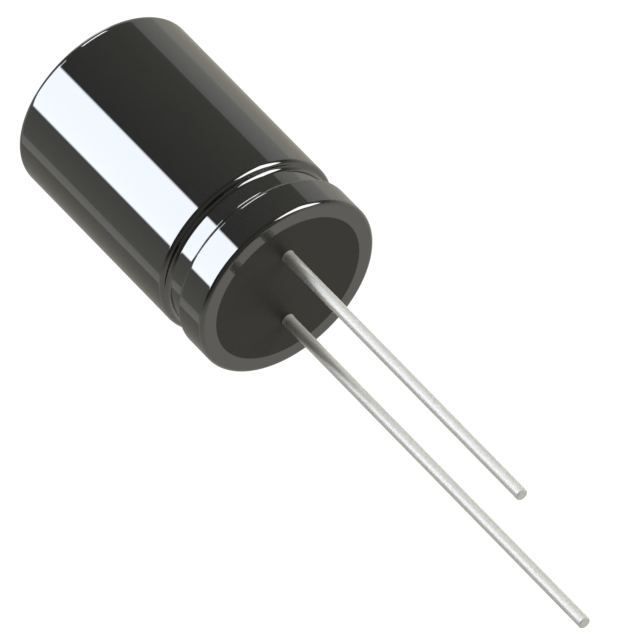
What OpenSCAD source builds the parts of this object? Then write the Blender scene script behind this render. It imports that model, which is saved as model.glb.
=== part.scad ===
// Radial aluminium electrolytic capacitor in a plain shrink sleeve.
// It stands on its closed end at z = 0, with both leads upwards on the X axis:
// the longer one, the anode, at +X and the shorter one, the cathode, at -X.
// All lengths are in millimetres.

/* [Body] */
// Diameter over the sleeve
body_d = 8; // [7.6:0.1:10]
// Length over the sleeve, from the closed end to the lead end
body_l = 12; // [11:0.5:20]
// Rounding of the folded film around the lead end
rim_round = 0.18; // [0.14:0.01:0.24]
// Rounding of the folded film around the closed end
base_round = 0.3; // [0.2:0.01:0.5]

/* [Sleeve] */
// Thickness of the shrunk film
film_t = 0.1; // [0.06:0.01:0.13]
// Width of the film folded over the lead end, from the side inwards
lead_end_fold = 0.7; // [0.5:0.05:0.9]
// Width of the film folded over the closed end, from the side inwards
closed_end_fold = 0.9; // [0.5:0.05:1.3]

/* [Can] */
// Thickness of the drawn wall and of its turned-in edge
wall_t = 0.25; // [0.18:0.01:0.3]
// Thickness of the closed end
base_t = 0.3; // [0.25:0.01:0.5]
// Rounding inside the closed end
cup_round = 0.15; // [0.05:0.01:0.18]
// Distance of the vent's cross from the folded film
vent_margin = 0.6; // [0.3:0.1:1.2]
// Depth of the score that forms the vent
vent_depth = 0.14; // [0.08:0.01:0.2]
// Width of that score at the surface
vent_w = 0.3; // [0.2:0.01:0.5]

/* [Groove] */
// Distance of the groove's middle from the lead end
groove_down = 2.07; // [1.8:0.01:2.3]
// Depth of the groove over the sleeve
groove_depth = 0.3; // [0.2:0.01:0.36]
// Straight length at the bottom of the groove
groove_floor = 0.6; // [0.4:0.01:0.7]
// Radius of the curves at the groove's edges and bottom
groove_round = 0.2; // [0.19:0.01:0.25]

/* [Bung] */
// Length of the rubber, from the lead end to its inner face
bung_l = 3.3; // [3.2:0.1:4]
// Rounding of the rubber's inner edge
bung_round = 0.15; // [0.05:0.01:0.3]

/* [Leads] */
// Distance between the two leads' axes
lead_pitch = 3.5; // [3.2:0.05:3.8]
// Diameter of the tinned wire
lead_d = 0.5; // [0.4:0.05:0.6]
// Free length of the anode lead
anode_l = 19; // [16:0.5:30]
// Free length of the cathode lead
cathode_l = 15; // [10:0.5:15.5]
// Rounding of the cut tips
tip_round = 0.05; // [0.02:0.01:0.15]
// Distance of the weld's foot from the lead end
weld_down = 0.9; // [0.5:0.05:1.5]
// Diameter of the weld at its foot, on the tab's post
weld_d = 0.8; // [0.7:0.05:1]
// Height by which the weld's taper stands out of the rubber
weld_out = 0.12; // [0.05:0.01:0.3]

/* [Tabs] */
// Diameter of the aluminium post in the rubber
post_d = 1.2; // [1.05:0.05:1.4]
// Length of round post below the rubber
post_tail = 0.15; // [0.1:0.01:0.2]
// Length over which the post is pressed flat
neck_l = 0.5; // [0.3:0.05:0.6]
// Thickness of the flattened tab
tab_t = 0.25; // [0.15:0.01:0.35]
// Width of the flattened tab
tab_w = 1.8; // [1.4:0.1:2]
// Distance of the tab's end from the bottom of the roll
tab_up = 1.7; // [1:0.1:4]
// Rounding of the tab's lower corners
tab_corner = 0.3; // [0.1:0.05:0.6]

/* [Winding] */
// Gap between the winding's outer turn and the can
wind_gap = 0.25; // [0.15:0.01:0.4]
// Free height between the winding and the rubber
head_space = 1.1; // [0.9:0.1:1.8]
// Hole that the winding mandrel left
core_d = 1.2; // [0.8:0.1:1.6]
// Radial growth of the roll in one turn
turn = 0.3; // [0.2:0.01:0.4]
// Thickness of the paper between two foils
paper_t = 0.1; // [0.06:0.01:0.14]
// Height by which the paper stands out past the foils
paper_out = 0.4; // [0.2:0.05:0.6]
// Gap on each side of a tab in the roll
tab_gap = 0.02; // [0.01:0.01:0.05]

/* [Tape] */
// Thickness of the tape around the roll
tape_t = 0.05; // [0.03:0.01:0.06]
// Distance of the tape from each end of the roll
tape_margin = 1.1; // [0.6:0.1:2]
// Angle over which the tape laps over its own start
tape_lap = 50; // [20:5:120]

/* [Hidden] */
body_r = body_d / 2;
lead_end_open_r = body_r - lead_end_fold;
closed_end_open_r = body_r - closed_end_fold;
vent_l = 2 * (closed_end_open_r - vent_margin);
lead_r = lead_d / 2;
lead_x = lead_pitch / 2;
post_r = post_d / 2;

// Depth of each surface below the sleeve's own: the can's outside and its inside
outside_in = film_t;
inside_in = film_t + wall_t;

// Heights from the closed end upwards
floor_z = film_t + base_t;
bung_z = body_l - bung_l;
lip_z = body_l - inside_in;
weld_z = body_l - weld_down;

// The two curves at each edge of the groove touch each other at one point
groove_z = body_l - groove_down;
crest_r = body_r - groove_round;
hollow_r = body_r - groove_depth + groove_round;
curve_l = sqrt(pow(2 * groove_round, 2) - pow(hollow_r - crest_r, 2));
hollow_up = groove_floor / 2;
crest_up = hollow_up + curve_l;

wind_r = body_r - inside_in - wind_gap;
wind_l = bung_z - head_space - floor_z;
wind_top = floor_z + wind_l;
tab_top = bung_z - post_tail - neck_l;
tab_low = floor_z + tab_up;

// The paper's spiral is a row of half rings, each half a turn wider than the last
spiral_start = core_d / 2 + paper_t;
half_rings = 2 * floor((wind_r - paper_t / 2 - turn / 2 - spiral_start) / turn);

// Overshoot of cuts, and thickness of the slices that a blend is drawn between
over = 1;
slice = 0.02;
$fn = 96;

// Square corner outside a rounded edge, in the half section; side is 1 below and -1 above
module edge_off(r, z, round, side) {
    translate([r - round, z + side * round])
        difference() {
            translate([0, side > 0 ? -round - over : 0])
                square([round + over, round + over]);
            circle(round);
        }
}

// Half section of a disc with rounded edges
module disc_section(r, low, high, low_round, high_round) {
    difference() {
        translate([0, low]) square([r, high - low]);
        if (low_round > 0) edge_off(r, low, low_round, 1);
        if (high_round > 0) edge_off(r, high, high_round, -1);
    }
}

// Half section of what the rolled groove takes away, for a surface this far inside the sleeve's
module groove_section(inset) {
    difference() {
        polygon([
            [body_r + over, groove_z - crest_up],
            [crest_r, groove_z - crest_up],
            [hollow_r, groove_z - hollow_up],
            [hollow_r, groove_z + hollow_up],
            [crest_r, groove_z + crest_up],
            [body_r + over, groove_z + crest_up]
        ]);
        if (inset < groove_round)
            for (side = [-1, 1])
                translate([crest_r, groove_z + side * crest_up]) circle(groove_round - inset);
    }
    for (side = [-1, 1])
        translate([hollow_r, groove_z + side * hollow_up]) circle(groove_round + inset);
    translate([body_r - groove_depth - inset, groove_z - hollow_up])
        square([groove_round + inset, groove_floor]);
}

// Half section inside the sleeve's surface, its inset film or the can's outside
module outer_section(inset) {
    difference() {
        disc_section(body_r - inset, inset, body_l - inset, base_round - inset, rim_round - inset);
        groove_section(inset);
    }
}

// Half section of the space inside the can, up to its turned-in edge
module cavity_section() {
    difference() {
        disc_section(body_r - inside_in, floor_z, lip_z, cup_round, 0);
        groove_section(inside_in);
    }
}

// Film shrunk over the can and folded over both of its ends
module sleeve() {
    color([0.09, 0.09, 0.09])
        rotate_extrude()
            difference() {
                outer_section(0);
                outer_section(outside_in);
                translate([0, body_l - 2 * film_t]) square([lead_end_open_r, 2 * film_t + over]);
                translate([0, -over]) square([closed_end_open_r, over + 2 * film_t]);
            }
}

// One bar of the cross that is scored in the closed end
module vent_bar(turned) {
    rotate([0, 0, turned])
        translate([-vent_l / 2, 0, film_t])
            rotate([90, 0, 90])
                linear_extrude(vent_l)
                    polygon([[-vent_w / 2, 0], [0, vent_depth], [vent_w / 2, 0], [0, -over]]);
}

// Drawn cup with the rolled groove and its edge turned in over the rubber
module can() {
    color([0.78, 0.79, 0.8])
        difference() {
            rotate_extrude()
                difference() {
                    outer_section(outside_in);
                    cavity_section();
                    translate([0, lip_z - over]) square([lead_end_open_r, wall_t + 2 * over]);
                }
            for (turned = [0, 90]) vent_bar(turned);
        }
}

// Round wire with a rounded cut tip, from the post to its free end
module wire(free_l) {
    rotate_extrude()
        disc_section(lead_r, weld_z, body_l + free_l, 0, tip_round);
}

// Weld that tapers from the post to the wire, and ends just outside the rubber
module weld() {
    translate([0, 0, weld_z]) cylinder(h = weld_down + weld_out, r1 = weld_d / 2, r2 = lead_r);
}

// Round post, from the weld down to where it is pressed flat
module post() {
    low = tab_top + neck_l - slice;
    translate([0, 0, low]) cylinder(h = weld_z - low, r = post_r);
}

// Rubber seal with a raised face that fills the opening, and two holes squeezed around the posts
module rubber_bung() {
    color([0.16, 0.16, 0.15])
        difference() {
            rotate_extrude() {
                intersection() {
                    cavity_section();
                    disc_section(body_r - inside_in, bung_z, body_l, bung_round, 0);
                }
                translate([0, bung_z + bung_round]) square([lead_end_open_r, bung_l - bung_round]);
            }
            for (side = [-1, 1])
                translate([side * lead_x, 0, 0]) {
                    post();
                    weld();
                    wire(over);
                }
        }
}

module lead(side, free_l) {
    color([0.8, 0.8, 0.78])
        translate([side * lead_x, 0, 0]) {
            wire(free_l);
            weld();
        }
}

module anode_lead() {
    lead(1, anode_l);
}

module cathode_lead() {
    lead(-1, cathode_l);
}

// Flat end of a tab seen from the side, wider by the given gap
module blade_section(low, high, gap) {
    half_w = tab_w / 2 + gap;
    translate([-half_w, low + tab_corner]) square([2 * half_w, high - low - tab_corner]);
    translate([-half_w + tab_corner, low]) square([2 * (half_w - tab_corner), tab_corner + gap]);
    for (side = [-1, 1])
        translate([side * (half_w - tab_corner), low + tab_corner]) circle(tab_corner);
}

module blade(low, high, gap) {
    translate([-tab_t / 2 - gap, 0, 0])
        rotate([90, 0, 90])
            linear_extrude(tab_t + 2 * gap) blade_section(low, high, gap);
}

// Aluminium rod that is pressed flat where it enters the roll
module tab(side) {
    color([0.72, 0.73, 0.75])
        translate([side * lead_x, 0, 0]) {
            post();
            hull() {
                translate([0, 0, tab_top + neck_l - slice]) cylinder(h = slice, r = post_r, $fn = 32);
                translate([-tab_t / 2, -tab_w / 2, tab_top - slice]) cube([tab_t, tab_w, slice]);
            }
            blade(tab_low, tab_top, 0);
        }
}

module anode_tab() {
    tab(1);
}

module cathode_tab() {
    tab(-1);
}

// Plan of the paper's spiral, as half rings above and below the X axis in turn
module paper_plan() {
    for (i = [0:half_rings - 1])
        let (odd = i % 2, r = spiral_start + i * turn / 2)
            translate([odd * turn / 2, 0])
                intersection() {
                    difference() {
                        circle(r + paper_t / 2);
                        circle(r - paper_t / 2);
                    }
                    translate([-r - over, -odd * (r + over)]) square([2 * (r + over), r + over]);
                }
}

// Edges of the paper that stand out past the foils, from low upwards
module paper_edges(low) {
    translate([0, 0, low]) linear_extrude(paper_out) paper_plan();
}

// Foils and paper wound into one roll, with a slot for each tab
module wound_element() {
    color([0.82, 0.76, 0.64])
        difference() {
            union() {
                translate([0, 0, floor_z + paper_out]) cylinder(h = wind_l - 2 * paper_out, r = wind_r);
                paper_edges(floor_z);
                paper_edges(wind_top - paper_out);
            }
            translate([0, 0, floor_z - over]) cylinder(h = wind_l + 2 * over, r = core_d / 2);
            for (side = [-1, 1])
                translate([side * lead_x, 0, 0])
                    blade(tab_low - tab_gap, wind_top + over, tab_gap);
        }
}

// Half section of the tape, in one or more layers
module tape_section(thick) {
    translate([wind_r, floor_z + tape_margin]) square([thick, wind_l - 2 * tape_margin]);
}

// Tape that holds the roll's last turn, with a lap over its start
module element_tape() {
    color([0.85, 0.7, 0.35]) {
        rotate_extrude()
            tape_section(tape_t);
        rotate_extrude(angle = tape_lap)
            tape_section(2 * tape_t);
    }
}

sleeve();
can();
rubber_bung();
anode_lead();
cathode_lead();
anode_tab();
cathode_tab();
wound_element();
element_tape();
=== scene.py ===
import math

import bmesh
import bpy
from bpy.props import (FloatProperty, FloatVectorProperty, IntProperty,
                       PointerProperty)
from mathutils import Matrix, Vector


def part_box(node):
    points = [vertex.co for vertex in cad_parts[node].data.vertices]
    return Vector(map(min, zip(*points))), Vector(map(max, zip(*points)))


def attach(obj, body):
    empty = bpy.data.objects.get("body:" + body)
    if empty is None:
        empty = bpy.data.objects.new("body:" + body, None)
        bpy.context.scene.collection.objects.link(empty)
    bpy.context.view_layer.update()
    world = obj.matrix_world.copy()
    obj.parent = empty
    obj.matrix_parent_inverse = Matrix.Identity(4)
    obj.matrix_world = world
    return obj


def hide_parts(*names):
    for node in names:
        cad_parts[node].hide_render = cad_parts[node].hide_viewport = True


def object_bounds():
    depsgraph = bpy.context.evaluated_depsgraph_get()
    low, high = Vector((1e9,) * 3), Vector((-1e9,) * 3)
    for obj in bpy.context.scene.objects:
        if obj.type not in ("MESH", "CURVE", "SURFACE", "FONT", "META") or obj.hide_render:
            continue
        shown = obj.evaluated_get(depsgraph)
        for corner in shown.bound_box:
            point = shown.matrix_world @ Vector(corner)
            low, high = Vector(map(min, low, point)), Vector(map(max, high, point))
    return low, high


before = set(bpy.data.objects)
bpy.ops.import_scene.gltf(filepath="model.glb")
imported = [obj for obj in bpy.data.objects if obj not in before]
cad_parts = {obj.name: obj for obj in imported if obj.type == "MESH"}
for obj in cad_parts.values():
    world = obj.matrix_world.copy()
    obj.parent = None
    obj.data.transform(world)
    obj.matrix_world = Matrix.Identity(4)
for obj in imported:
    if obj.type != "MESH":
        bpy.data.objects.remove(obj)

# The finish of a radial electrolytic capacitor, and the studio that it stands in.
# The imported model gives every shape; this file turns the sleeve again with finer steps,
# and gives the surfaces, the floor, the light and the camera. Lengths are in metres.

bl_info = {
    "name": "Radial capacitor finish",
    "version": (1, 0, 0),
    "blender": (4, 5, 0),
    "location": "3D View > Sidebar > Capacitor",
    "description": "Surfaces of a sleeved radial capacitor, with its floor, light and camera",
    "category": "Object",
}

MM = 0.001
FRAME_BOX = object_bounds()
PART_TOP = FRAME_BOX[1].z
FACE_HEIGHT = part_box("sleeve")[1].z     # height of the lead end
WHITE = (1.0, 1.0, 1.0)
FLOAT, VECTOR = "NodeSocketFloat", "NodeSocketVector"
SHARP_EDGE = math.radians(40.0)     # a steeper fold between faces is shaded as an edge
STEADY_STEP = 0.01 * MM     # distance of the added points from the ends of a straight
LONG_STRAIGHT = 0.08 * MM   # the shortest straight that gets them
FLOOR_STEPS = 96
SENSOR_WIDTH = 36.0         # of the camera, in millimetres
NEAREST_SEEN = 10.0 * MM    # from the camera


def colour(name, description, default):
    return FloatVectorProperty(name=name, description=description, subtype="COLOR",
                               size=3, min=0.0, max=1.0, default=default)


def length(name, description, millimetres, least=0.0):
    return FloatProperty(name=name, description=description, unit="LENGTH",
                         min=least * MM, default=millimetres * MM, precision=6)


def angle(name, description, degrees):
    return FloatProperty(name=name, description=description, subtype="ANGLE",
                         unit="ROTATION", default=math.radians(degrees))


def level(name, description, default, top=1.0):
    return FloatProperty(name=name, description=description, min=0.0, max=top,
                         default=default)


class CapacitorSleeve(bpy.types.PropertyGroup):
    """Sizes of the sleeve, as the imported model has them."""

    film: length("Film", "Thickness of the shrunk film", 0.1)
    lead_end_fold: length("Fold, lead end", "Width of film folded over the lead end", 0.7)
    closed_end_fold: length("Fold, closed end", "Width of film folded over the closed end",
                            0.9)
    rim_round: length("Rim rounding", "Rounding around the lead end", 0.18)
    base_round: length("Base rounding", "Rounding around the closed end", 0.3)
    groove_down: length("Groove down", "Groove's middle below the lead end", 2.07)
    groove_depth: length("Groove depth", "Depth of the rolled groove", 0.3)
    groove_floor: length("Groove floor", "Straight length in the groove", 0.6)
    groove_round: length("Groove rounding", "Radius of the groove's curves", 0.2)
    steps_round: IntProperty(name="Steps round", description="Faces round the sleeve",
                             min=24, default=288)
    steps_curve: IntProperty(name="Steps per curve", description="Faces on each rounding",
                             min=3, default=14)


class CapacitorFinish(bpy.types.PropertyGroup):
    """Colours, grain and relief of each surface."""

    film_colour: colour("Film", "Colour of the black shrink film", (0.0045, 0.0044, 0.0041))
    skin_ior: level("Film gloss", "Refractive index of the film's clear skin", 1.8, 3.0)
    film_roughness: level("Film roughness", "Blur of the film under its clear skin", 0.35)
    film_haze: length("Film haze", "Size of the film's faint haze", 0.9)
    film_wave: length("Film wave", "Distance between the slow waves of shrunk film", 1.6)
    film_wave_depth: length("Film wave depth", "Depth of the slow waves", 0.0004)
    dust_colour: colour("Dust", "Colour of the dust on the film", (0.05, 0.05, 0.047))
    dust_spacing: length("Dust spacing", "Distance between two specks of dust", 1.3)
    dust_share: level("Dust size", "Radius of a speck, as a share of the spacing", 0.009)
    rubber_colour: colour("Rubber", "Colour of the sealing rubber", (0.0065, 0.0062, 0.0054))
    rubber_roughness: level("Rubber roughness", "Blur of the rubber's sheen", 0.42)
    rubber_grain: length("Rubber grain", "Size of the moulded rubber's grain", 0.05)
    rubber_relief: length("Rubber relief", "Depth of the rubber's grain", 0.004)
    tin_colour: colour("Tin", "Colour of the tinned wires", (0.616, 0.6175, 0.613))
    tin_roughness: level("Tin roughness", "Blur of what the tin mirrors", 0.35)
    tin_metal: level("Tin's metal", "Share of the tin that mirrors; the rest is dull", 0.8)
    tin_grain: length("Tin grain", "Size of the tin's grain", 0.06)
    tin_relief: length("Tin relief", "Depth of the grain and the drawn lines", 0.0006)
    cut_blur: level("Cut end", "How much rougher the cut end of a wire is", 0.3)
    aluminium_colour: colour("Aluminium", "Colour of the can and the tabs",
                             (0.79, 0.8, 0.81))
    aluminium_roughness: level("Aluminium roughness", "Blur of what it mirrors", 0.33)
    aluminium_relief: length("Aluminium relief", "Depth of the marks of its making", 0.0008)
    paper_colour: colour("Paper", "Colour of the soaked paper edges", (0.62, 0.53, 0.38))
    paper_roughness: level("Paper roughness", "Roughness of the soaked paper", 0.7)
    paper_edge: length("Paper edge", "Height of bare paper at each end of the roll", 0.41)
    roll_skin: length("Roll's skin", "Thickness of the paper round the roll", 0.02)
    foil_colour: colour("Foil", "Colour of the etched foil between the papers",
                        (0.42, 0.42, 0.41))
    tape_colour: colour("Tape", "Colour of the amber tape", (0.72, 0.5, 0.16))
    tape_roughness: level("Tape roughness", "Blur of the tape's gloss", 0.35)
    inner_relief: length("Inner relief", "Depth of the paper's fibres and the tape's wrinkles",
                         0.006)


class CapacitorStudio(bpy.types.PropertyGroup):
    """Floor, light and camera."""

    view_azimuth: angle("View round", "Direction of the camera round the part", -61.5)
    view_height: angle("View height", "Height of the camera above the horizon", 33.73)
    view_roll: angle("View roll", "Turn of the camera about its own axis", 135.6)
    picture_width: length("Picture width", "Width that the picture shows at the lead end",
                          24.02)
    aim_right: length("Aim right", "Picture's middle, to the right of the lead end's middle",
                      1.207, least=-50.0)
    aim_up: length("Aim up", "Picture's middle, above the lead end's middle",
                   -1.202, least=-50.0)
    lens: FloatProperty(name="Lens", description="Focal length in millimetres", min=50.0,
                        max=1600.0, default=1500.0)
    floor_colour: colour("Floor", "Colour of the pale floor", (0.86, 0.86, 0.85))
    floor_radius: length("Floor radius", "Radius of the floor", 900.0)
    floor_gap: length("Floor gap", "Distance of the floor below the closed end", 0.02)
    floor_glow: level("Floor white", "Share of plain white that the camera sees in the floor",
                      0.92)
    floor_white: level("White level", "Brightness of that plain white", 1.07, 2.0)
    room_light: level("Room light", "Strength of the even light from all round", 0.42, 5.0)
    lamp_size: length("Lamp size", "Side of each square lamp", 320.0)
    lamp_distance: length("Lamp distance", "Distance of each lamp from the part", 400.0)
    key_power: level("Key power", "Power of the key lamp, in watts", 0.15, 50.0)
    key_height: angle("Key height", "Height of the key lamp above the horizon", 62.0)
    key_turn: angle("Key turn", "Turn of the key lamp from the camera's side", -45.0)
    side_power: level("Side power", "Power of the side lamp, in watts", 5.4, 50.0)
    side_height: angle("Side height", "Height of the side lamp above the horizon", 20.0)
    side_turn: angle("Side turn", "Turn of the side lamp from the camera's side", -86.0)
    side_tint: colour("Side tint", "Colour of the side lamp's warm light", (1.0, 0.975, 0.86))
    box_light: level("Softboxes", "Strength of the softboxes that glossy surfaces mirror",
                     10.7, 50.0)


class Sheet:
    """A node tree that is filled from left to right."""

    column_width = 180

    def __init__(self, tree):
        self.tree = tree
        self.column = 0

    def add(self, kind, inputs=None, **settings):
        node = self.tree.nodes.new(kind)
        node.location = (self.column_width * self.column, 0)
        self.column += 1
        for name, value in settings.items():
            setattr(node, name, value)
        for name, value in (inputs or {}).items():
            self.feed(node.inputs[name], value)
        return node

    def feed(self, socket, value):
        """Links a socket to the value's own socket, or sets it to a plain value."""
        if isinstance(value, bpy.types.NodeSocket):
            self.tree.links.new(value, socket)
        elif socket.type == "RGBA":
            socket.default_value = (*value[:3], 1.0)
        else:
            socket.default_value = value

    def math(self, operation, first, second=0.0, third=0.0, clamp=False):
        node = self.add("ShaderNodeMath", {0: first, 1: second, 2: third},
                        operation=operation, use_clamp=clamp)
        return node.outputs[0]

    def vector(self, operation, first, second=None, output=0):
        inputs = {0: first}
        if second is not None:
            inputs[1] = second
        return self.add("ShaderNodeVectorMath", inputs, operation=operation).outputs[output]

    def split(self, vector):
        return self.add("ShaderNodeSeparateXYZ", {0: vector}).outputs

    def join(self, x, y, z=0.0):
        return self.add("ShaderNodeCombineXYZ", {"X": x, "Y": y, "Z": z}).outputs[0]

    def from_axis(self, split):
        """Distance of a split point from the part's axis."""
        return self.vector("LENGTH", self.join(split["X"], split["Y"]), output="Value")

    def ramp(self, value, low, high, start=0.0, end=1.0):
        """Goes from start to end while the value goes from low to high."""
        return self.add("ShaderNodeMapRange", {
            "Value": value, "From Min": low, "From Max": high,
            "To Min": start, "To Max": end}).outputs["Result"]

    def around(self, share, middle, less, more):
        """Goes from a little less than the middle value to a little more."""
        return self.ramp(share, 0.0, 1.0, middle - less, middle + more)

    def weigh(self, first, second, share):
        """Share of the first value, and the rest of the second."""
        return self.math("MULTIPLY_ADD", first, share,
                         self.math("MULTIPLY", second, 1.0 - share))

    def blend(self, share, first, second):
        """Colour that goes from the first to the second."""
        return self.add("ShaderNodeMix", {0: share, 6: first, 7: second},
                        data_type="RGBA").outputs[2]

    def shades(self, share, base, dark, light):
        """Goes from a darker shade of the base colour to a lighter one."""
        return self.blend(share, tinted(base, dark), tinted(base, light))

    def noise(self, point, scale=1.0, detail=2.0):
        return self.add("ShaderNodeTexNoise", {"Vector": point, "Scale": scale,
                                               "Detail": detail}).outputs[0]

    def use(self, group, **inputs):
        """Result of a node group, with its inputs set by name."""
        named = {name.replace("_", " "): value for name, value in inputs.items()}
        return self.add("ShaderNodeGroup", named, node_tree=group).outputs[0]


def tinted(base, factor):
    return tuple(min(1.0, c * factor) for c in base)


def shared_group(name, inputs, output, lay_out):
    """Node group of that name, which is laid out once, when it is first used."""
    tree = bpy.data.node_groups.get(name)
    if tree is None:
        tree = bpy.data.node_groups.new(name, "ShaderNodeTree")
        for label, kind, default in inputs:
            socket = tree.interface.new_socket(name=label, in_out="INPUT", socket_type=kind)
            if default is not None:
                socket.default_value = default
        tree.interface.new_socket(name=output, in_out="OUTPUT", socket_type=FLOAT)
        sheet = Sheet(tree)
        given = sheet.add("NodeGroupInput").outputs
        sheet.add("NodeGroupOutput", {0: lay_out(sheet, given)})
    return tree


def fine_grain():
    """Even grain of one size: moulded rubber, dull tin, soaked paper."""
    def lay_out(sheet, given):
        scale = sheet.math("DIVIDE", 1.0, given["Size"])
        return sheet.ramp(sheet.noise(given["Point"], scale, given["Detail"]), 0.25, 0.75)

    return shared_group("Fine grain", (
        ("Point", VECTOR, None), ("Size", FLOAT, 0.1 * MM), ("Detail", FLOAT, 2.0)),
        "Height", lay_out)


def drawn_marks():
    """Fine lines that run along the part's axis: drawn wire, pressed tabs, a drawn wall."""
    def lay_out(sheet, given):
        split = sheet.split(given["Point"])
        stretched = sheet.join(sheet.math("DIVIDE", split["X"], given["Across"]),
                               sheet.math("DIVIDE", split["Y"], given["Across"]),
                               sheet.math("DIVIDE", split["Z"], given["Along"]))
        return sheet.ramp(sheet.noise(stretched, detail=3.0), 0.3, 0.7)

    return shared_group("Drawn marks", (
        ("Point", VECTOR, None), ("Across", FLOAT, 0.02 * MM), ("Along", FLOAT, 1.0 * MM)),
        "Height", lay_out)


def turned_marks():
    """Fine rings around the part's axis, as a punch leaves them on a drawn bottom."""
    def lay_out(sheet, given):
        split = sheet.split(given["Point"])
        out = sheet.math("DIVIDE", sheet.from_axis(split), given["Spacing"])
        turn = sheet.math("ARCTAN2", split["Y"], split["X"])
        return sheet.ramp(sheet.noise(sheet.join(out, turn, split["Z"])), 0.3, 0.7)

    return shared_group("Turned marks", (
        ("Point", VECTOR, None), ("Spacing", FLOAT, 0.1 * MM)), "Height", lay_out)


def dust_specks():
    """Scattered small specks, 1 on a speck and 0 between them."""
    def lay_out(sheet, given):
        scale = sheet.math("DIVIDE", 1.0, given["Spacing"])
        cells = sheet.add("ShaderNodeTexVoronoi", {"Vector": given["Point"], "Scale": scale},
                          feature="F1")
        return sheet.math("LESS_THAN", cells.outputs["Distance"], given["Share"])

    return shared_group("Dust specks", (
        ("Point", VECTOR, None), ("Spacing", FLOAT, 0.8 * MM), ("Share", FLOAT, 0.08)),
        "Mask", lay_out)


def new_material(name):
    """Empty material with its node sheet, and the point of the part that is shaded."""
    material = bpy.data.materials.new(name)
    material.use_nodes = True
    material.node_tree.nodes.clear()
    sheet = Sheet(material.node_tree)
    point = sheet.add("ShaderNodeTexCoord").outputs["Object"]
    return material, sheet, point


def finish_material(sheet, base, rough, normal, **others):
    """Feeds the colour, roughness and relief to the shader, and the shader to the output."""
    inputs = {"Base Color": base, "Roughness": rough, "Normal": normal}
    inputs.update((name.replace("_", " "), value) for name, value in others.items())
    shader = sheet.add("ShaderNodeBsdfPrincipled", inputs)
    sheet.add("ShaderNodeOutputMaterial", {"Surface": shader.outputs[0]})


def relief(sheet, height, depth, normal=None):
    """Bump of the given depth in metres, on top of another where there is one."""
    inputs = {"Strength": 1.0, "Distance": depth, "Height": height}
    if normal is not None:
        inputs["Normal"] = normal
    return sheet.add("ShaderNodeBump", inputs).outputs[0]


def arc(centre, radius, start, end, steps):
    """Points of an arc in the half section, from one angle to another in degrees."""
    angles = (math.radians(start + (end - start) * i / steps) for i in range(steps + 1))
    return [(centre[0] + radius * math.cos(a), centre[1] + radius * math.sin(a))
            for a in angles]


def steadied(points):
    """The same points, with two more beside the ends of each long straight, so that its
    shading stays even up to the roundings."""
    held = [points[0]]
    for (r, z), (next_r, next_z) in zip(points, points[1:]):
        span = math.hypot(next_r - r, next_z - z)
        if span > LONG_STRAIGHT:
            for share in (STEADY_STEP / span, 1 - STEADY_STEP / span):
                held.append((r + (next_r - r) * share, z + (next_z - z) * share))
        held.append((next_r, next_z))
    return held


def sleeve_side(sleeve, radius, top, inset):
    """Half section of the sleeve's outside, or of its inside at the film's inset, from
    the lead end down to the closed end."""
    steps = sleeve.steps_curve
    crest = radius - sleeve.groove_round
    hollow = radius - sleeve.groove_depth + sleeve.groove_round
    curve = math.sqrt((2 * sleeve.groove_round) ** 2 - (hollow - crest) ** 2)
    turn = math.degrees(math.atan2(curve, hollow - crest))
    middle = top - sleeve.groove_down
    half = sleeve.groove_floor / 2
    outer, inner = sleeve.groove_round - inset, sleeve.groove_round + inset
    rim, base = sleeve.rim_round, sleeve.base_round
    return ([(radius - sleeve.lead_end_fold, top - inset)]
            + arc((radius - rim, top - rim), rim - inset, 90, 0, steps)
            + arc((crest, middle + half + curve), outer, 0, -turn, steps)
            + arc((hollow, middle + half), inner, 180 - turn, 180, steps)
            + arc((hollow, middle - half), inner, 180, 180 + turn, steps)
            + arc((crest, middle - half - curve), outer, turn, 0, steps)
            + arc((radius - base, base), base - inset, 0, -90, steps)
            + [(radius - sleeve.closed_end_fold, inset)])


def turned_piece(name, section, steps):
    """Closed mesh of a closed half section that is turned round the part's axis."""
    grid = bmesh.new()
    rings = []
    for i in range(steps):
        turn = 2 * math.pi * i / steps
        rings.append([grid.verts.new((r * math.cos(turn), r * math.sin(turn), z))
                      for r, z in section])
    for ring, following in zip(rings, rings[1:] + rings[:1]):
        for j, vert in enumerate(ring):
            k = (j + 1) % len(ring)
            grid.faces.new((vert, ring[k], following[k], following[j]))
    bmesh.ops.recalc_face_normals(grid, faces=grid.faces)
    for face in grid.faces:
        face.smooth = True
    for edge in grid.edges:
        edge.smooth = edge.calc_face_angle(0.0) < SHARP_EDGE
    mesh = bpy.data.meshes.new(name)
    grid.to_mesh(mesh)
    grid.free()
    piece = bpy.data.objects.new(name, mesh)
    bpy.context.scene.collection.objects.link(piece)
    return piece


def make_sleeve(sleeve):
    """The sleeve's own shape, turned finely enough for a clean gloss on its roundings."""
    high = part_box("sleeve")[1]
    section = steadied(sleeve_side(sleeve, high.x, high.z, 0.0))
    section += reversed(sleeve_side(sleeve, high.x, high.z, sleeve.film))
    piece = turned_piece("shrink_sleeve", section, sleeve.steps_round)
    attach(piece, "root")
    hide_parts("sleeve")
    return piece


def dress(node, material):
    """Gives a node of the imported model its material."""
    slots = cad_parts[node].material_slots
    if not slots:
        raise RuntimeError(f"{node} has no material slot")
    for slot in slots:
        slot.material = material


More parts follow.
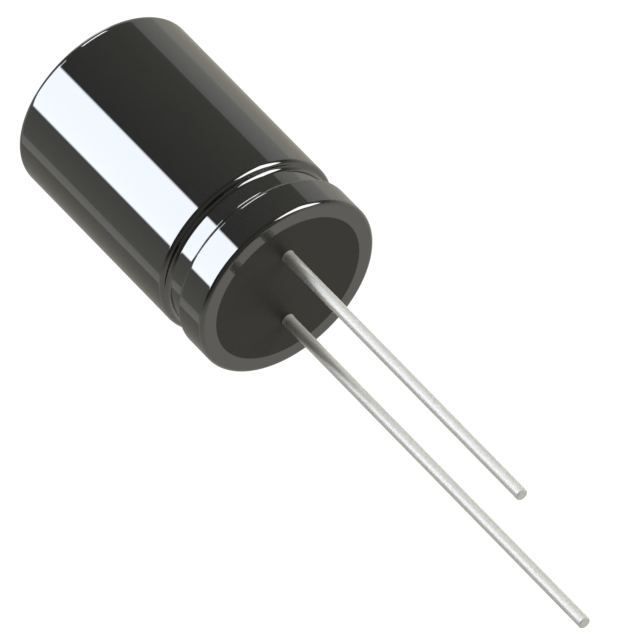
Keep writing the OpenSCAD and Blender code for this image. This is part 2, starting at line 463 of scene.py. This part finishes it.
def film_material(finish):
    """Black shrink film: a sharp gloss over slow waves, a faint haze and a little dust."""
    material, sheet, point = new_material("Black shrink film")
    haze = sheet.use(fine_grain(), Point=point, Size=finish.film_haze, Detail=3.0)
    dust = sheet.use(dust_specks(), Point=point, Spacing=finish.dust_spacing,
                     Share=finish.dust_share)
    wave = sheet.use(fine_grain(), Point=point, Size=finish.film_wave, Detail=1.0)
    base = sheet.shades(haze, finish.film_colour, dark=0.92, light=1.08)
    base = sheet.blend(dust, base, finish.dust_colour)
    rough = sheet.around(haze, finish.film_roughness, less=0.07, more=0.07)
    clear = sheet.ramp(dust, 0.0, 1.0, start=1.0, end=0.3)
    finish_material(sheet, base, rough, relief(sheet, wave, finish.film_wave_depth),
                    IOR=1.45, Specular_IOR_Level=0.0, Coat_Weight=clear,
                    Coat_Roughness=0.0, Coat_IOR=finish.skin_ior)
    return material


def rubber_material(finish):
    """Moulded rubber: matt grain with a soft sheen."""
    material, sheet, point = new_material("Sealing rubber")
    grain = sheet.use(fine_grain(), Point=point, Size=finish.rubber_grain, Detail=3.0)
    cloud = sheet.use(fine_grain(), Point=point, Size=0.9 * MM, Detail=2.0)
    base = sheet.shades(cloud, finish.rubber_colour, dark=0.9, light=1.1)
    base = sheet.blend(sheet.math("MULTIPLY", grain, 0.7), base,
                       tinted(finish.rubber_colour, 1.5))
    rough = sheet.around(grain, finish.rubber_roughness, less=0.05, more=0.08)
    finish_material(sheet, base, rough, relief(sheet, grain, finish.rubber_relief),
                    IOR=1.5, Specular_IOR_Level=0.25)
    return material


def tin_material(finish):
    """Dull tin on drawn wire: mottled grain, faint lines along the wire, a rougher cut end."""
    material, sheet, point = new_material("Tinned wire")
    grain = sheet.use(fine_grain(), Point=point, Size=finish.tin_grain, Detail=2.0)
    lines = sheet.use(drawn_marks(), Point=point, Across=0.05 * MM, Along=2.4 * MM)
    cloud = sheet.use(fine_grain(), Point=point, Size=0.7 * MM, Detail=3.0)
    facing = sheet.add("ShaderNodeTexCoord").outputs["Normal"]
    cut = sheet.ramp(sheet.split(facing)["Z"], 0.3, 0.55)
    base = sheet.shades(grain, finish.tin_colour, dark=0.84, light=1.14)
    base = sheet.blend(sheet.math("MULTIPLY", cloud, 0.4), base,
                       tinted(finish.tin_colour, 0.9))
    rough = sheet.around(sheet.weigh(lines, grain, 0.5), finish.tin_roughness,
                         less=0.06, more=0.07)
    rough = sheet.math("MULTIPLY_ADD", cut, finish.cut_blur, rough)
    normal = relief(sheet, lines, finish.tin_relief)
    normal = relief(sheet, grain, finish.tin_relief, normal)
    finish_material(sheet, base, rough, normal, Metallic=finish.tin_metal)
    return material


def aluminium_material(finish, name, turned):
    """Satin aluminium with the marks of its drawing or pressing, and of a turned punch."""
    material, sheet, point = new_material(name)
    cloud = sheet.use(fine_grain(), Point=point, Size=0.8 * MM, Detail=3.0)
    lines = sheet.use(drawn_marks(), Point=point, Across=0.04 * MM, Along=3.0 * MM)
    if turned:
        rings = sheet.use(turned_marks(), Point=point, Spacing=0.06 * MM)
        lines = sheet.weigh(rings, lines, 0.6)
    base = sheet.shades(cloud, finish.aluminium_colour, dark=0.9, light=1.0)
    rough = sheet.around(lines, finish.aluminium_roughness, less=0.07, more=0.07)
    finish_material(sheet, base, rough, relief(sheet, lines, finish.aluminium_relief),
                    Metallic=1.0)
    return material


def roll_material(finish):
    """Foil and paper roll: soaked paper at the ends and outside, etched foil between its
    turns."""
    material, sheet, point = new_material("Foil and paper roll")
    low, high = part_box("wound_element")
    split = sheet.split(point)
    above = sheet.math("GREATER_THAN", split["Z"], low.z + finish.paper_edge)
    below = sheet.math("LESS_THAN", split["Z"], high.z - finish.paper_edge)
    skin = sheet.math("GREATER_THAN", sheet.from_axis(split), high.x - finish.roll_skin)
    foil = sheet.math("MULTIPLY", sheet.math("MULTIPLY", above, below),
                      sheet.math("SUBTRACT", 1.0, skin))
    fibre = sheet.use(drawn_marks(), Point=point, Across=0.12 * MM, Along=0.5 * MM)
    cloud = sheet.use(fine_grain(), Point=point, Size=0.7 * MM, Detail=4.0)
    paper = sheet.shades(cloud, finish.paper_colour, dark=0.8, light=1.0)
    paper = sheet.blend(sheet.math("MULTIPLY", fibre, 0.3), paper,
                        tinted(finish.paper_colour, 1.2))
    base = sheet.blend(foil, paper, finish.foil_colour)
    rough = sheet.around(cloud, finish.paper_roughness, less=0.1, more=0.15)
    finish_material(sheet, base, rough, relief(sheet, fibre, finish.inner_relief),
                    Metallic=sheet.math("MULTIPLY", foil, 0.8))
    return material


def tape_material(finish):
    """Amber tape with faint wrinkles along its width."""
    material, sheet, point = new_material("Amber tape")
    wrinkle = sheet.use(drawn_marks(), Point=point, Across=0.5 * MM, Along=4.0 * MM)
    cloud = sheet.use(fine_grain(), Point=point, Size=0.6 * MM, Detail=2.0)
    base = sheet.shades(cloud, finish.tape_colour, dark=0.85, light=1.0)
    rough = sheet.around(cloud, finish.tape_roughness, less=0.07, more=0.07)
    finish_material(sheet, base, rough, relief(sheet, wrinkle, finish.inner_relief),
                    IOR=1.48)
    return material


def direction(azimuth, height):
    """Direction at an angle round the part's axis, from -Y, and a height."""
    flat = math.cos(height)
    return Vector((math.sin(azimuth) * flat, -math.cos(azimuth) * flat, math.sin(height)))


def view_axes(studio):
    """Directions of the camera's right, its up, and from the part to the camera."""
    back = direction(studio.view_azimuth, studio.view_height)
    right = Vector((math.cos(studio.view_azimuth), math.sin(studio.view_azimuth), 0.0))
    up = back.cross(right)
    roll = studio.view_roll
    return (right * math.cos(roll) + up * math.sin(roll),
            up * math.cos(roll) - right * math.sin(roll), back)


def softbox_mask():
    """1 inside a softbox that spans the given angles round and above the horizon, and 0
    outside."""
    def lay_out(sheet, given):
        def rising(value, at):
            share = sheet.math("DIVIDE", sheet.math("SUBTRACT", value, at), given["Edge"])
            return sheet.math("ADD", share, 0.5, clamp=True)

        turn, height = given["Round"], given["Height"]
        start = sheet.math("MULTIPLY_ADD", height, given["Lean From"], given["From"])
        end = sheet.math("MULTIPLY_ADD", height, given["Lean To"], given["To"])
        mask = sheet.math("MULTIPLY", rising(turn, start), rising(end, turn))
        mask = sheet.math("MULTIPLY", mask, rising(height, given["Low"]))
        return sheet.math("MULTIPLY", mask, rising(given["High"], height))

    names = ("Round", "Height", "From", "To", "Low", "High", "Lean From", "Lean To")
    return shared_group("Softbox", (
        *((name, FLOAT, 0.0) for name in names), ("Edge", FLOAT, 1.0)), "Mask", lay_out)


# The studio's walls and light. All angles here are in degrees, either round from the
# camera's side or above the horizon.

# Softboxes: name, share of the full strength, its change per degree round, tint, and the
# frames that bound the box. Each frame has the angles round at which it starts and ends on
# the horizon, how much these two lean for each degree of height, its lowest and highest
# angle above the horizon, and the softness of its edge.
SOFTBOXES = (
    ("strip", 1.0, 0.0013, (0.915, 0.97, 1.03),
     ((-61.6, -8.9, 0.0, 0.0, -58.0, -24.0, 2.4),)),
    ("strip's foot", 0.5, 0.0, (0.915, 0.97, 1.03),
     ((-8.9, 1.0, 0.0, 0.0, -50.0, -38.0, 1.2),)),
    ("side window", 1.12, 0.0, (1.0, 1.0, 0.99),
     ((62.0, 76.0, -0.9, 0.9, -40.0, 90.0, 4.0), (21.0, 97.0, 0.7, 0.0, -40.0, 44.0, 4.0))),
    ("low window", 1.0, 0.0, (0.98, 1.0, 1.02),
     ((26.0, 60.0, 0.0, 0.0, -50.0, -38.0, 2.0),)),
    ("lower window", 0.3, 0.0, (0.98, 1.0, 1.02),
     ((112.0, 142.0, 0.0, 0.0, -82.0, -64.0, 2.0),)),
)

# The angle round at which a softbox has just its share of the strength
EVEN_AT = -35.0

# Low walls, below the horizon: places round, and the brightness there. It passes evenly
# from one place to the next.
LOW_WALLS = (
    (-180.0, (0.40, 0.38, 0.34)), (-150.0, (0.40, 0.39, 0.35)), (-114.0, (0.47, 0.46, 0.41)),
    (-113.0, (0.87, 0.875, 0.85)), (-101.5, (0.87, 0.875, 0.85)), (-100.5, (0.53, 0.53, 0.485)),
    (-62.0, (0.53, 0.53, 0.50)), (-9.0, (0.235, 0.243, 0.246)), (20.0, (0.262, 0.264, 0.262)),
    (48.0, (0.28, 0.28, 0.26)), (88.3, (0.27, 0.27, 0.25)), (89.7, (0.70, 0.70, 0.67)),
    (100.0, (0.74, 0.745, 0.73)), (119.5, (0.71, 0.72, 0.695)), (120.5, (0.91, 0.90, 0.82)),
    (134.0, (0.76, 0.73, 0.64)), (150.0, (0.61, 0.58, 0.51)), (180.0, (0.50, 0.48, 0.43)),
)
# Above this height, a pale wall at the back and a dark one on the camera's side
LOW_WALLS_TOP = (-27.0, -16.0)
HIGH_WALL = (0.88, 0.865, 0.79)
DARK_WALL = (0.155, 0.153, 0.144)
DARK_FROM, DARK_TO, DARK_EDGE = -79.0, 111.0, 25.0
NO_LIMIT = 120.0
# Overhead the walls pass into a ceiling, which is dark up to a line a little behind the part
CEILING_START = (40.0, 62.0)
CEILING_DARK = (-0.36, -0.06)

# The same light as rough metal and rubber meet it, spread evenly by the angle round
SPREAD_TOP = (-42.0, -29.0)
SPREAD_LIGHT = (
    (-180.0, (0.30, 0.29, 0.27)), (-125.0, (0.20, 0.20, 0.195)), (-80.0, (0.56, 0.58, 0.595)),
    (-36.0, (4.75, 4.88, 5.02)), (-4.0, (3.25, 3.34, 3.44)), (32.0, (2.25, 2.32, 2.4)),
    (85.0, (0.66, 0.68, 0.70)), (125.0, (0.26, 0.26, 0.25)), (180.0, (0.30, 0.29, 0.27)),
)
HIGH_SPREAD = (0.80, 0.785, 0.71)
DARK_SPREAD = (0.38, 0.38, 0.36)


def wall_colour(sheet, turn, walls):
    """Brightness of the walls by the angle round."""
    node = sheet.add("ShaderNodeValToRGB", {0: sheet.ramp(turn, -180.0, 180.0)})
    stops = node.color_ramp.elements
    while len(stops) < len(walls):
        stops.new(0.5)
    for stop, (at, tint) in zip(stops, walls):
        stop.position = (at + 180.0) / 360.0
        stop.color = (*tint, 1.0)
    return node.outputs[0]


def look_angles(sheet, studio):
    """Angle round and height of the direction that a ray looks in, both in degrees, and how
    far it looks towards the camera's side."""
    ahead = direction(studio.view_azimuth, 0.0)
    side = ahead.cross(Vector((0.0, 0.0, 1.0)))
    look = sheet.add("ShaderNodeTexCoord").outputs["Generated"]
    look = sheet.vector("NORMALIZE", look)
    to_front = sheet.vector("DOT_PRODUCT", look, ahead, "Value")
    to_side = sheet.vector("DOT_PRODUCT", look, side, "Value")
    degree = math.degrees(1.0)
    turn = sheet.math("MULTIPLY", sheet.math("ARCTAN2", to_side, to_front), degree)
    height = sheet.math("MULTIPLY", sheet.math("ARCSINE", sheet.split(look)["Z"]), degree)
    return turn, height, to_front


def dark_share(sheet, turn, height, to_front):
    """1 on the dark wall and the dark part of the ceiling, 0 on the pale ones."""
    wall = sheet.use(softbox_mask(), Round=turn, Height=height, From=DARK_FROM, To=DARK_TO,
                     Low=-NO_LIMIT, High=NO_LIMIT, Edge=DARK_EDGE)
    ceiling = sheet.ramp(to_front, *CEILING_DARK)
    start, end = CEILING_START
    return sheet.math("MAXIMUM",
                      sheet.math("MULTIPLY", wall, sheet.ramp(height, end, start)),
                      sheet.math("MULTIPLY", ceiling, sheet.ramp(height, start, end)))


def add_softboxes(sheet, studio, walls, turn, height):
    """The walls' brightness with the light of every softbox on top."""
    glow = walls
    for name, share, change, tint, frames in SOFTBOXES:
        strength = sheet.math("MULTIPLY_ADD", sheet.math("SUBTRACT", turn, EVEN_AT),
                              change, 1.0)
        strength = sheet.math("MULTIPLY", strength, studio.box_light * share)
        for start, end, lean, lean_end, bottom, top, edge in frames:
            mask = sheet.use(softbox_mask(), Round=turn, Height=height, From=start, To=end,
                             Lean_From=lean, Lean_To=lean_end, Low=bottom, High=top,
                             Edge=edge)
            strength = sheet.math("MULTIPLY", strength, mask)
        glow = sheet.vector("ADD", glow, sheet.vector("MULTIPLY", tint, strength))
        glow.node.label = name
    return glow


def make_world(studio):
    """Even light for dull surfaces, plain white for the camera, and the studio's walls
    and softboxes for glossy ones."""
    world = bpy.data.worlds.new("Studio")
    world.use_nodes = True
    world.node_tree.nodes.clear()
    bpy.context.scene.world = world
    if hasattr(world, "cycles"):
        world.cycles.sampling_method = "NONE"   # only the lamps are aimed at
    sheet = Sheet(world.node_tree)
    turn, height, to_front = look_angles(sheet, studio)
    dark = dark_share(sheet, turn, height, to_front)

    # Clear gloss mirrors the walls and the sharp softboxes
    walls = sheet.blend(sheet.ramp(height, *LOW_WALLS_TOP),
                        wall_colour(sheet, turn, LOW_WALLS),
                        sheet.blend(dark, HIGH_WALL, DARK_WALL))
    sharp = add_softboxes(sheet, studio, walls, turn, height)
    # Rough tin and rubber mirror the spread light
    spread = sheet.blend(sheet.ramp(height, *SPREAD_TOP),
                         wall_colour(sheet, turn, SPREAD_LIGHT),
                         sheet.blend(dark, HIGH_SPREAD, DARK_SPREAD))

    rays = sheet.add("ShaderNodeLightPath").outputs
    seen = sheet.blend(rays["Is Singular Ray"], spread, sharp)
    mirrored = sheet.math("MAXIMUM", rays["Is Glossy Ray"], rays["Is Transmission Ray"])

    def light(tint, strength):
        return sheet.add("ShaderNodeBackground", {0: tint, 1: strength}).outputs[0]

    def choose(share, first, second):
        return sheet.add("ShaderNodeMixShader", {0: share, 1: first, 2: second}).outputs[0]

    mixed = choose(mirrored, light(WHITE, studio.room_light), light(seen, 1.0))
    mixed = choose(rays["Is Camera Ray"], mixed, light(WHITE, 1.0))
    sheet.add("ShaderNodeOutputWorld", {"Surface": mixed})


def floor_material(studio):
    """Pale floor that looks white to the camera but keeps a share of its shadow."""
    material, sheet, point = new_material("Pale floor")
    cloud = sheet.use(fine_grain(), Point=point, Size=6.0 * MM, Detail=3.0)
    base = sheet.shades(cloud, studio.floor_colour, dark=0.985, light=1.0)
    matt = sheet.add("ShaderNodeBsdfDiffuse", {"Color": base})
    glow = sheet.add("ShaderNodeEmission", {"Color": WHITE, "Strength": studio.floor_white})
    seen = sheet.add("ShaderNodeLightPath").outputs["Is Camera Ray"]
    share = sheet.math("MULTIPLY", seen, studio.floor_glow)
    mixed = sheet.add("ShaderNodeMixShader", {0: share, 1: matt.outputs[0],
                                              2: glow.outputs[0]})
    sheet.add("ShaderNodeOutputMaterial", {"Surface": mixed.outputs[0]})
    return material


def make_floor(studio):
    """Round pale floor under the closed end. Glossy surfaces mirror the studio instead."""
    mesh = bpy.data.meshes.new("floor")
    turns = [2 * math.pi * i / FLOOR_STEPS for i in range(FLOOR_STEPS)]
    ring = [(studio.floor_radius * math.cos(turn), studio.floor_radius * math.sin(turn), 0.0)
            for turn in turns]
    mesh.from_pydata(ring, [], [tuple(range(FLOOR_STEPS))])
    mesh.materials.append(floor_material(studio))
    floor = bpy.data.objects.new("floor", mesh)
    floor.location.z = FRAME_BOX[0].z - studio.floor_gap
    floor.visible_glossy = False
    bpy.context.scene.collection.objects.link(floor)


def make_lamp(name, studio, turn, height, power, tint):
    """One large square lamp that looks at the part, turned round from the camera's side.
    It lights only what is dull; gloss never shows it."""
    data = bpy.data.lights.new(name, "AREA")
    data.shape = "SQUARE"
    data.size = studio.lamp_size
    data.energy = power
    data.color = tint
    lamp = bpy.data.objects.new(name, data)
    back = direction(studio.view_azimuth + turn, height)
    lamp.location = Vector((0.0, 0.0, PART_TOP / 2)) + back * studio.lamp_distance
    lamp.rotation_mode = "QUATERNION"
    lamp.rotation_quaternion = (-back).to_track_quat("-Z", "Y")
    lamp.visible_camera = False
    lamp.visible_glossy = False
    bpy.context.scene.collection.objects.link(lamp)


def make_lamps(studio):
    """The weak key lamp stands on the camera's side, the warm side lamp low beside the
    part."""
    make_lamp("key lamp", studio, studio.key_turn, studio.key_height, studio.key_power,
              WHITE)
    make_lamp("side lamp", studio, studio.side_turn, studio.side_height, studio.side_power,
              studio.side_tint)


def make_camera(studio):
    """Long lens, so that the view has hardly any perspective."""
    right, up, back = view_axes(studio)
    data = bpy.data.cameras.new("camera")
    data.type = "PERSP"
    data.sensor_width = SENSOR_WIDTH
    data.lens = studio.lens
    distance = studio.picture_width * studio.lens / SENSOR_WIDTH
    target = Vector((0.0, 0.0, FACE_HEIGHT)) + right * studio.aim_right + up * studio.aim_up
    data.clip_start, data.clip_end = NEAREST_SEEN, distance * 2
    camera = bpy.data.objects.new("camera", data)
    turn = Matrix((right, up, back)).transposed().to_4x4()
    camera.matrix_world = Matrix.Translation(target + back * distance) @ turn
    bpy.context.scene.collection.objects.link(camera)
    bpy.context.scene.camera = camera


class CAPACITOR_OT_camera(bpy.types.Operator):
    """Sets the camera at the picture's viewing angle"""

    bl_idname = "capacitor.camera"
    bl_label = "Set the camera"

    def execute(self, context):
        make_camera(context.scene.capacitor_studio)
        return {"FINISHED"}


class CAPACITOR_OT_sleeve(bpy.types.Operator):
    """Turns the sleeve and gives it its black shrink film"""

    bl_idname = "capacitor.sleeve"
    bl_label = "Make the sleeve"

    def execute(self, context):
        piece = make_sleeve(context.scene.capacitor_sleeve)
        piece.data.materials.append(film_material(context.scene.capacitor_finish))
        return {"FINISHED"}


class CAPACITOR_OT_bung(bpy.types.Operator):
    """Gives the sealing bung its moulded rubber"""

    bl_idname = "capacitor.bung"
    bl_label = "Finish the rubber"

    def execute(self, context):
        dress("rubber_bung", rubber_material(context.scene.capacitor_finish))
        return {"FINISHED"}


class CAPACITOR_OT_leads(bpy.types.Operator):
    """Gives both leads their dull tin"""

    bl_idname = "capacitor.leads"
    bl_label = "Finish the leads"

    def execute(self, context):
        tin = tin_material(context.scene.capacitor_finish)
        for node in ("anode_lead", "cathode_lead"):
            dress(node, tin)
        return {"FINISHED"}


class CAPACITOR_OT_aluminium(bpy.types.Operator):
    """Gives the drawn can and both pressed tabs their aluminium"""

    bl_idname = "capacitor.aluminium"
    bl_label = "Finish the can and the tabs"

    def execute(self, context):
        finish = context.scene.capacitor_finish
        dress("can", aluminium_material(finish, "Drawn aluminium", turned=True))
        pressed = aluminium_material(finish, "Pressed aluminium", turned=False)
        for node in ("anode_tab", "cathode_tab"):
            dress(node, pressed)
        return {"FINISHED"}


class CAPACITOR_OT_roll(bpy.types.Operator):
    """Gives the wound roll its foil and paper, and its tape"""

    bl_idname = "capacitor.roll"
    bl_label = "Finish the roll and its tape"

    def execute(self, context):
        finish = context.scene.capacitor_finish
        dress("wound_element", roll_material(finish))
        dress("element_tape", tape_material(finish))
        return {"FINISHED"}


class CAPACITOR_OT_stage(bpy.types.Operator):
    """Makes the studio's walls and softboxes, the floor and the two lamps"""

    bl_idname = "capacitor.stage"
    bl_label = "Set the stage"

    def execute(self, context):
        studio = context.scene.capacitor_studio
        make_world(studio)
        make_floor(studio)
        make_lamps(studio)
        context.scene.view_settings.view_transform = "Standard"
        return {"FINISHED"}


class CAPACITOR_PT_panel(bpy.types.Panel):
    """Sizes, colours and steps of the capacitor's finish"""

    bl_idname = "CAPACITOR_PT_panel"
    bl_label = "Capacitor"
    bl_space_type = "VIEW_3D"
    bl_region_type = "UI"
    bl_category = "Capacitor"

    def draw(self, context):
        layout = self.layout
        for group, steps in ((context.scene.capacitor_sleeve, SLEEVE_STEPS),
                             (context.scene.capacitor_finish, FINISH_STEPS),
                             (context.scene.capacitor_studio, STUDIO_STEPS)):
            box = layout.box()
            for name in group.__annotations__:
                box.prop(group, name)
            for step in steps:
                box.operator(step.bl_idname)


SLEEVE_STEPS = (CAPACITOR_OT_sleeve,)
FINISH_STEPS = (CAPACITOR_OT_bung, CAPACITOR_OT_leads,
                CAPACITOR_OT_aluminium, CAPACITOR_OT_roll)
STUDIO_STEPS = (CAPACITOR_OT_camera, CAPACITOR_OT_stage)
CLASSES = (CapacitorSleeve, CapacitorFinish, CapacitorStudio, *SLEEVE_STEPS,
           *FINISH_STEPS, *STUDIO_STEPS, CAPACITOR_PT_panel)


def register():
    for cls in CLASSES:
        bpy.utils.register_class(cls)
    bpy.types.Scene.capacitor_sleeve = PointerProperty(type=CapacitorSleeve)
    bpy.types.Scene.capacitor_finish = PointerProperty(type=CapacitorFinish)
    bpy.types.Scene.capacitor_studio = PointerProperty(type=CapacitorStudio)


def unregister():
    del bpy.types.Scene.capacitor_studio
    del bpy.types.Scene.capacitor_finish
    del bpy.types.Scene.capacitor_sleeve
    for cls in reversed(CLASSES):
        bpy.utils.unregister_class(cls)


def main():
    register()
    bpy.ops.capacitor.camera()
    bpy.ops.capacitor.sleeve()
    bpy.ops.capacitor.bung()
    bpy.ops.capacitor.leads()
    bpy.ops.capacitor.aluminium()
    bpy.ops.capacitor.roll()
    bpy.ops.capacitor.stage()


if __name__ == "__main__":
    main()
